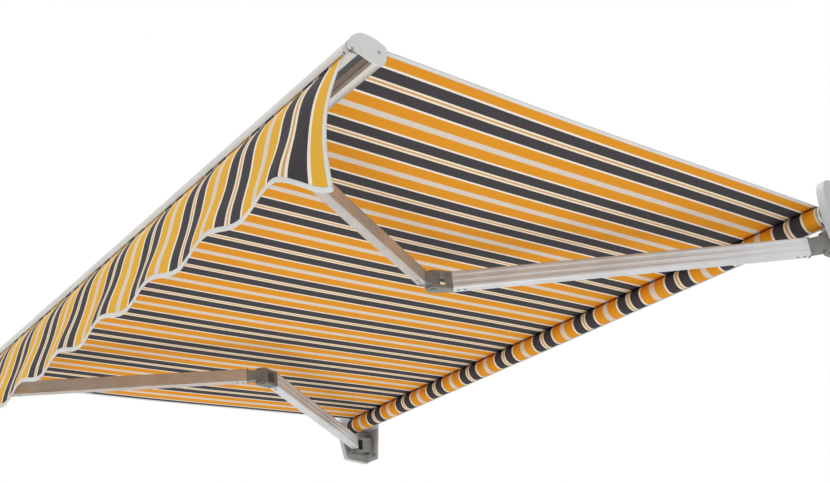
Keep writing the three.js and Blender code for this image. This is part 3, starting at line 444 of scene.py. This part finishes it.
def drop_at(x):
    """How far the valance hangs down at x."""
    wave = SCALLOP_HEIGHT * math.cos(2 * math.pi * SCALLOPS * (x + CLOTH_WIDTH / 2) / CLOTH_WIDTH)
    return VALANCE_DROP + wave + TAB_DROP * end_share(x)


def valance_point(x, down, forward=0.0):
    """A point of the hanging cloth, down from 0 at the rod to 1 at the hem."""
    drop = drop_at(x)
    free = min(max((down * drop - VALANCE_TOP) / (drop - VALANCE_TOP), 0), 1)
    swing = VALANCE_LEAN * (1 - (1 - free) ** LEAN_EASE) + RIPPLE * math.sin(2 * math.pi * RIPPLE_WAVES * free)
    fold = FOLD_DEPTH * math.sin(2 * math.pi * SCALLOPS * x / CLOTH_WIDTH + FOLD_DRIFT * free) * free * free
    curl = END_BOW * math.sin(END_CURL * math.pi * free)
    share = end_share(x)
    out = (swing + fold) * (1 - share) + curl * share
    return on_bar(x, ROD_OUT, ROD_UP) + Vector((0, -out - forward, -drop * down))


print("valance hangs", round(drop_at(0), 3), "m in the middle and", round(drop_at(CLOTH_WIDTH / 2), 3), "m at its ends")

# %% Valance and its tapes
VALANCE_COLUMNS, VALANCE_ROWS = 360, 48
VALANCE_THICKNESS = 0.0011
TAPE_WIDTH = 0.014
TAPE_THICKNESS = 0.0024
SIDE_TAPE_THICKNESS = 0.0023
SIDE_TAPE_TOP = 0.012 / drop_at(CLOTH_WIDTH / 2)


def hem_tape_point(u, v):
    """A point of the tape along the valance's lower edge."""
    x = across(u)
    start = 1 - TAPE_WIDTH / drop_at(x)
    return valance_point(x, start * (1 - v) + v)


def side_tape_point(sign, u, v):
    """A point of the tape down one end of the valance."""
    inset = TAPE_WIDTH * (1 - u if sign > 0 else u)
    return valance_point(sign * (CLOTH_WIDTH / 2 - inset), SIDE_TAPE_TOP + (1 - SIDE_TAPE_TOP) * v)


valance = sheet(
    "valance_cloth",
    lambda u, v: valance_point(across(u), v),
    VALANCE_COLUMNS,
    VALANCE_ROWS,
    VALANCE_THICKNESS,
    valance_cloth,
)
hem_tape = sheet("valance_hem_tape", hem_tape_point, VALANCE_COLUMNS, 4, TAPE_THICKNESS, tape)
side_tapes = [
    sheet(
        side + "_valance_tape",
        lambda u, v: side_tape_point(sign, u, v),
        4,
        VALANCE_ROWS,
        SIDE_TAPE_THICKNESS,
        tape,
    )
    for side, sign in SIDES
]
for piece in [valance, hem_tape, *side_tapes]:
    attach(piece, "front_bar")
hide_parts("valance")
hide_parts("valance_binding")

# %% [markdown]
# ## Geometry Nodes for what repeats
# Stitches, screw heads and ribs repeat, which is what Geometry Nodes are for. Each tree takes bare points or edges and
# named sizes, and ends in plain mesh with a material on it. These helpers open a tree, close it and run it on a piece.

# %% Tree helpers
def new_tree(name, inputs):
    """A geometry tree with named inputs, given as their kind and starting value, and a material."""
    tree = bpy.data.node_groups.new(name, "GeometryNodeTree")
    tree.interface.new_socket("Geometry", in_out="INPUT", socket_type="NodeSocketGeometry")
    tree.interface.new_socket("Geometry", in_out="OUTPUT", socket_type="NodeSocketGeometry")
    for label, (kind, value) in inputs.items():
        tree.interface.new_socket(label, in_out="INPUT", socket_type="NodeSocket" + kind).default_value = value
    tree.interface.new_socket("Material", in_out="INPUT", socket_type="NodeSocketMaterial")
    return tree, node(tree, "NodeGroupInput").outputs


def close_tree(tree, geometry, material):
    """Ends a tree in real geometry with its material, because the export drops instances."""
    real = node(tree, "GeometryNodeRealizeInstances", {0: geometry}).outputs[0]
    done = node(tree, "GeometryNodeSetMaterial", {"Geometry": real, "Material": material}).outputs[0]
    node(tree, "NodeGroupOutput", {0: done})
    print(tree.name, "tree:", len(tree.nodes), "nodes")


def seeds(name, points, edges=()):
    """A piece of bare points and edges for a tree to work on."""
    mesh = bpy.data.meshes.new(name)
    mesh.from_pydata([tuple(p) for p in points], list(edges), [])
    piece = bpy.data.objects.new(name, mesh)
    scene.collection.objects.link(piece)
    return piece


def grow(piece, tree, values, body):
    """Runs a tree on a piece with named inputs, keeps the result as plain mesh and sets it on its body."""
    modifier = piece.modifiers.new(tree.name, "NODES")
    modifier.node_group = tree
    keys = {item.name: item.identifier for item in tree.interface.items_tree if item.in_out == "INPUT"}
    for name, value in values.items():
        modifier[keys[name]] = value
    settle(piece)
    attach(piece, body)
    print(piece.name, len(piece.data.polygons), "faces on", body)
    return piece


# %% [markdown]
# ## Stitches
# A curve is resampled at the stitch's pitch and a small grain of thread is set on each point along the curve. The
# stitches are drawn coarser than real ones, because a real one would be smaller than a pixel.

# %% Stitch tree
stitching, given = new_tree(
    "stitches", {"Pitch": ("Float", 0.007), "Length": ("Float", 0.005), "Thread": ("Float", 0.0012)}
)
line = node(stitching, "GeometryNodeMeshToCurve", {0: given["Geometry"]}).outputs[0]
even = node(
    stitching, "GeometryNodeResampleCurve", {"Curve": line, "Length": given["Pitch"]}, mode="LENGTH"
).outputs[0]
size = node(
    stitching, "ShaderNodeCombineXYZ", {0: given["Length"], 1: given["Thread"], 2: given["Thread"]}
).outputs[0]
ball = node(stitching, "GeometryNodeMeshIcoSphere", {"Radius": 0.5, "Subdivisions": 1}).outputs[0]
grain = node(stitching, "GeometryNodeTransform", {"Geometry": ball, "Scale": size}).outputs[0]
tangent = node(stitching, "GeometryNodeInputTangent").outputs[0]
turn = node(stitching, "FunctionNodeAlignRotationToVector", {"Vector": tangent}, axis="X").outputs[0]
rows = node(
    stitching, "GeometryNodeInstanceOnPoints", {"Points": even, "Instance": grain, "Rotation": turn}
).outputs[0]
close_tree(stitching, rows, given["Material"])

# %% Hem stitches
STITCH = {"Pitch": 0.009, "Length": 0.006, "Thread": 0.0014, "Material": thread}
SEAM = 1 - 0.011 / VALANCE_DROP
SEAM_STEPS = 600
SEAM_ENDS = 4  # steps left bare at either end
STITCH_PROUD = 0.0013


def stitch_line(name, shift):
    """A row of stitches along the hem, on the face that lies so far forward."""
    places = range(SEAM_ENDS, SEAM_STEPS - SEAM_ENDS + 1)
    points = [valance_point(across(i / SEAM_STEPS), SEAM, shift) for i in places]
    piece = seeds(name, points, [(i, i + 1) for i in range(len(points) - 1)])
    return grow(piece, stitching, STITCH, "front_bar")


hem_stitches = [stitch_line("hem_stitches_front", STITCH_PROUD), stitch_line("hem_stitches_back", -STITCH_PROUD)]

# %% [markdown]
# ## Screws, bolts and rivets
# Every fastener is a low head on a face, so one tree serves all: each point carries the direction that its head faces,
# and the tree sets a washer and a head there. The number of sides makes it a hexagon bolt or a round screw.

# %% Fastener tree
WASHER_WIDTH = 1.35  # times the head's radius
WASHER_HEIGHT = 0.25  # times the head's height
HEAD_TAPER = 0.8
heads, given = new_tree(
    "fastener_heads", {"Sides": ("Int", 6), "Radius": ("Float", 0.008), "Height": ("Float", 0.005)}
)
wide = node(heads, "ShaderNodeMath", {0: given["Radius"], 1: WASHER_WIDTH}, operation="MULTIPLY").outputs[0]
thin = node(heads, "ShaderNodeMath", {0: given["Height"], 1: WASHER_HEIGHT}, operation="MULTIPLY").outputs[0]
slim = node(heads, "ShaderNodeMath", {0: given["Radius"], 1: HEAD_TAPER}, operation="MULTIPLY").outputs[0]
lift = node(heads, "ShaderNodeCombineXYZ", {2: thin}).outputs[0]
washer = node(
    heads,
    "GeometryNodeMeshCone",
    {"Vertices": 20, "Radius Top": given["Radius"], "Radius Bottom": wide, "Depth": thin},
).outputs[0]
head = node(
    heads,
    "GeometryNodeMeshCone",
    {"Vertices": given["Sides"], "Radius Top": slim, "Radius Bottom": given["Radius"], "Depth": given["Height"]},
).outputs[0]
raised = node(heads, "GeometryNodeTransform", {"Geometry": head, "Translation": lift}).outputs[0]
both = node(heads, "GeometryNodeJoinGeometry", {0: raised})
heads.links.new(washer, both.inputs[0])
facing = node(heads, "GeometryNodeInputNamedAttribute", {"Name": "facing"}, data_type="FLOAT_VECTOR").outputs[0]
turn = node(heads, "FunctionNodeAlignRotationToVector", {"Vector": facing}, axis="Z").outputs[0]
set_out = node(
    heads,
    "GeometryNodeInstanceOnPoints",
    {"Points": given["Geometry"], "Instance": both.outputs[0], "Rotation": turn},
).outputs[0]
close_tree(heads, set_out, given["Material"])

# %% Fasteners on the brackets and the bar
WALL_BOLT = {"Sides": 6, "Radius": 0.009, "Height": 0.006}
COVER_SCREW = {"Sides": 16, "Radius": 0.005, "Height": 0.0022}
CAP_SCREW = {"Sides": 16, "Radius": 0.004, "Height": 0.002}
FLANGE_MIDDLE = 1.421
FLANGE_FACE = -0.008
BOLT_LEVELS = (0.099, 0.0605, -0.144)
COVER_FACE = 1.513
COVER_SCREW_PLACES = ((-0.032, 0.09), (-0.032, -0.13), (-0.15, -0.02))  # Y and Z
CAP_SCREW_PLACES = ((0.024, -0.030), (0.104, -0.058))  # out and up on the bar's section


def fasteners(name, body, places, head):
    """Heads at (point, facing) places, all on one body."""
    piece = seeds(name, [point for point, _ in places])
    facing = piece.data.attributes.new("facing", "FLOAT_VECTOR", "POINT")
    for slot, (_, direction) in zip(facing.data, places):
        slot.vector = direction
    return grow(piece, heads, head | {"Material": zinc_steel}, body)


wall_bolts = [
    (Vector((sign * FLANGE_MIDDLE, FLANGE_FACE, z)), (0, -1, 0)) for _, sign in SIDES for z in BOLT_LEVELS
]
cover_screws = [
    (Vector((sign * COVER_FACE, y, z)), (sign, 0, 0)) for _, sign in SIDES for y, z in COVER_SCREW_PLACES
]
cap_screws = [
    (on_bar(sign * BAR_END, out, up), (sign, 0, 0)) for _, sign in SIDES for out, up in CAP_SCREW_PLACES
]
fasteners("wall_bolt_heads", "frame", wall_bolts, WALL_BOLT)
fasteners("cover_screw_heads", "frame", cover_screws, COVER_SCREW)
fasteners("cap_screw_heads", "front_bar", cap_screws, CAP_SCREW)

# %% [markdown]
# ## Rivets on the arms
# Each tube is riveted to the castings in its ends. The rivets sit on the tube's top and underside, so their places are
# counted along the arm from its pivot.

# %% The arms' lines
UPPER_LENGTH = 1.410
FORE_LENGTH = 1.080
UPPER_ANGLE = math.radians(51.3)
FORE_ANGLE = math.acos((UPPER_LENGTH * math.cos(UPPER_ANGLE) - UPPER_LENGTH + FORE_LENGTH) / FORE_LENGTH)
SHOULDER_X, SHOULDER_Y, SHOULDER_Z = 1.456, -0.120, -0.103
UPPER_ASIDE = 0.023  # from the line of the pivots to the middle of the tube
FORE_ASIDE = 0.020


def arm_lines(sign):
    """The shoulder and elbow of one arm and the directions of its two tubes."""
    shoulder = Vector((sign * SHOULDER_X, SHOULDER_Y, SHOULDER_Z))
    upper = ACROSS * (-sign * math.cos(UPPER_ANGLE)) + FORWARD * math.sin(UPPER_ANGLE)
    fore = ACROSS * (sign * math.cos(FORE_ANGLE)) + FORWARD * math.sin(FORE_ANGLE)
    return shoulder, upper, shoulder + upper * UPPER_LENGTH, fore


print("right elbow at", rounded(arm_lines(1)[2]))

# %% Arm rivets
UPPER_RIVET = {"Sides": 14, "Radius": 0.0045, "Height": 0.0018}
FORE_RIVET = {"Sides": 14, "Radius": 0.004, "Height": 0.0016}
UPPER_HALF_HEIGHT = 0.033
FORE_HALF_HEIGHT = 0.0275
UPPER_RIVET_PLACES = (0.088, 0.112, 1.298, 1.322)
FORE_RIVET_PLACES = (0.082, 0.104, 0.978, 1.002)


def tube_rivets(pivot, along, aside, half_height, places):
    """Rivet places on both broad edges of a tube."""
    beside = NORMAL.cross(along) * aside
    return [
        (pivot + along * place + beside + NORMAL * (face * half_height), NORMAL * face)
        for place in places
        for face in (-1, 1)
    ]


for side, sign in SIDES:
    shoulder, upper, elbow, fore = arm_lines(sign)
    on_upper = tube_rivets(shoulder, upper, -sign * UPPER_ASIDE, UPPER_HALF_HEIGHT, UPPER_RIVET_PLACES)
    on_fore = tube_rivets(elbow, fore, -sign * FORE_ASIDE, FORE_HALF_HEIGHT, FORE_RIVET_PLACES)
    fasteners(side + "_upper_rivets", side + "_upper_arm", on_upper, UPPER_RIVET)
    fasteners(side + "_fore_rivets", side + "_forearm", on_fore, FORE_RIVET)

# %% [markdown]
# ## Ribs of the upper arms
# The upper arm is an extrusion with raised ribs along its sides, which catch the light as bright lines. Each rib starts
# as one edge along the arm, and the tree draws a small rounded section along it, stood up on the arm's own normal.

# %% Rib tree
ribbing, given = new_tree(
    "arm_ribs",
    {
        "Width": ("Float", 0.013),
        "Depth": ("Float", 0.002),
        "Rounding": ("Float", 0.0008),
        "Upright": ("Vector", (0, 0, 1)),
    },
)
axes = node(ribbing, "GeometryNodeMeshToCurve", {0: given["Geometry"]}).outputs[0]
stood = node(
    ribbing, "GeometryNodeSetCurveNormal", {"Curve": axes, "Normal": given["Upright"]}, mode="FREE"
).outputs[0]
flat = node(
    ribbing, "GeometryNodeCurvePrimitiveQuadrilateral", {"Width": given["Width"], "Height": given["Depth"]}
).outputs[0]
section = node(
    ribbing, "GeometryNodeFilletCurve", {"Curve": flat, "Radius": given["Rounding"], "Count": 2}, mode="POLY"
).outputs[0]
drawn = node(
    ribbing, "GeometryNodeCurveToMesh", {"Curve": stood, "Profile Curve": section, "Fill Caps": True}
).outputs[0]
close_tree(ribbing, drawn, given["Material"])

# %% Arm ribs
RIB_LEVELS = (-0.0225, 0.0, 0.0225)
RIB_RUN = (0.074, 1.336)
RIB_SEAT = 0.0199  # from the middle of the tube to the middle of a rib, just under the tube's side
for side, sign in SIDES:
    body = side + "_upper_arm"
    shoulder, upper, _, _ = arm_lines(sign)
    beside = NORMAL.cross(upper)
    points = [
        shoulder + upper * place + beside * (face * RIB_SEAT - sign * UPPER_ASIDE) + NORMAL * level
        for face in (-1, 1)
        for level in RIB_LEVELS
        for place in RIB_RUN
    ]
    ribs = seeds(side + "_arm_ribs", points, [(i, i + 1) for i in range(0, len(points), 2)])
    values = {"Upright": tuple(NORMAL), "Material": arm_aluminium[body]}
    grow(ribs, ribbing, values, body)

# %% [markdown]
# ## Painted shade under the bar
# Two strips lie side by side in the channel under the front bar, a brown one and a dark one, and both are painted
# shade:
# the brown one is the bar's underside in shade and the dark one the deeper shade in its groove. Each is a shallow strip
# with bevelled long edges, so one profile is drawn out along the bar.

# %% Painted shade strips under the bar
STRIP_LOW, STRIP_HIGH, STRIP_BEVEL = -0.0590, -0.0543, 0.0008
STRIP_RUNS = ((-1.453, -1.172), (-1.080, 1.080), (1.172, 1.453))  # clear of the brackets of the arms


def shade_strip(name, back, front, material):
    """A strip of painted shade in the bar's channel, from its back edge to its front edge."""
    section = [
        (back, STRIP_HIGH),
        (front, STRIP_HIGH),
        (front, STRIP_LOW + STRIP_BEVEL),
        (front - STRIP_BEVEL, STRIP_LOW),
        (back + STRIP_BEVEL, STRIP_LOW),
        (back, STRIP_LOW + STRIP_BEVEL),
    ]
    count = len(section)
    walls = [(i, (i + 1) % count, count + (i + 1) % count, count + i) for i in range(count)]
    walls += [tuple(range(count - 1, -1, -1)), tuple(range(count, 2 * count))]
    points, faces = [], []
    for run in STRIP_RUNS:
        faces += [tuple(len(points) + i for i in wall) for wall in walls]
        points += [on_bar(x, out, up) for x in run for out, up in section]
    piece = make_object(name, points, faces, material)
    piece.data.shade_flat()
    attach(piece, "front_bar")
    print(name, "in", len(STRIP_RUNS), "lengths")


# Painted shade: brown for the bar's shaded underside, dark grey for the shade in its groove.
shade_strip("painted_shade_strip_brown", 0.0463, 0.0640, shaded_underside_brown)
shade_strip("painted_shade_strip_dark", 0.0643, 0.0797, dark_plastic)

# %% [markdown]
# ## Camera
# The camera stands low at the front right corner and looks up at the underside of the cloth.

# %% Camera
CAMERA_PLACE = Vector((3.1735, -3.3234, -1.9130))
looking = Vector((-0.6911, 0.5410, 0.4793)).normalized()
right = looking.cross(Vector((0, 0, 1))).normalized()
up = right.cross(looking)
lens = bpy.data.cameras.new("camera")
lens.sensor_width = 36
lens.sensor_fit = "HORIZONTAL"
lens.lens = 46.44
lens.clip_end = 100
camera = bpy.data.objects.new("camera", lens)
scene.collection.objects.link(camera)
turned = Matrix((right, up, -looking)).transposed().to_4x4()
camera.matrix_world = Matrix.Translation(CAMERA_PLACE) @ turned
scene.camera = camera
print("camera lens", round(lens.lens, 2), "mm")

# %% [markdown]
# ## Light and floor
# The awning is seen from below, so most of its light comes from an even white surround and from two wide, weak lamps
# that face straight up. A large soft lamp in front lights the valance, and one above lights the roof. The surround is
# plain white to the camera and in reflections.

# %% World
AMBIENT = 0.72
world = bpy.data.worlds.new("surround")
scene.world = world
world.use_nodes = True
tree = world.node_tree
tree.nodes.clear()
path = node(tree, "ShaderNodeLightPath").outputs
seen = path["Is Camera Ray"]
for ray in ("Is Glossy Ray", "Is Transmission Ray"):
    seen = node(tree, "ShaderNodeMath", {0: seen, 1: path[ray]}, operation="MAXIMUM").outputs[0]
ambient = node(tree, "ShaderNodeBackground", {"Color": (1, 1, 1, 1), "Strength": AMBIENT}).outputs[0]
white = node(tree, "ShaderNodeBackground", {"Color": (1, 1, 1, 1), "Strength": 1.0}).outputs[0]
mixed = node(tree, "ShaderNodeMixShader", {0: seen, 1: ambient, 2: white}).outputs[0]
node(tree, "ShaderNodeOutputWorld", {0: mixed})
print("surround lights at", AMBIENT)

# %% Lamps
LAMPS = {  # place, target, size in metres and power in watts
    "front_lamp": ((0.5, -6.5, -0.6), (0, -1.4, -0.2), 3.0, 38),
    "low_lamp": ((1.5, -1.7, -2.6), (1.5, -1.7, 0.0), 2.4, 19),
    "far_low_lamp": ((-1.2, -0.9, -2.6), (-1.2, -0.9, 0.0), 2.4, 18),
    "top_lamp": ((0.5, -1.6, 4.5), (0, -1.1, 0.0), 4.0, 120),
}
for name, (place, target, size, power) in LAMPS.items():
    light = bpy.data.lights.new(name, "AREA")
    light.size = size
    light.energy = power
    lamp = bpy.data.objects.new(name, light)
    lamp.visible_camera = False
    scene.collection.objects.link(lamp)
    aim = (Vector(target) - Vector(place)).to_track_quat("-Z", "Y")
    lamp.matrix_world = Matrix.Translation(place) @ aim.to_matrix().to_4x4()
    print(name, power, "W")

# %% Floor
FLOOR_LEVEL = -2.9
FLOOR_REACH = 30
FLOOR_CLOUD = 1 / 0.6
floor_material, tree, output = new_material("pale_floor")
place = node(tree, "ShaderNodeTexCoord").outputs["Object"]
speck = node(tree, "ShaderNodeTexNoise", {"Vector": place, "Scale": 1 / FLOOR_CLOUD, "Detail": 2.0}).outputs["Fac"]
tone = node(
    tree, "ShaderNodeMix", {0: speck, 6: linear("#EDEDEC"), 7: linear("#F2F2F1")}, data_type="RGBA"
).outputs[2]
ground = node(tree, "ShaderNodeBsdfPrincipled", {"Base Color": tone, "Roughness": 0.9})
tree.links.new(ground.outputs[0], output.inputs[0])
corners = [(x * FLOOR_REACH, y * FLOOR_REACH, FLOOR_LEVEL) for x, y in ((-1, -1), (1, -1), (1, 1), (-1, 1))]
floor = make_object("floor", corners, [(0, 1, 2, 3)], floor_material)
print("floor at", FLOOR_LEVEL, "m")
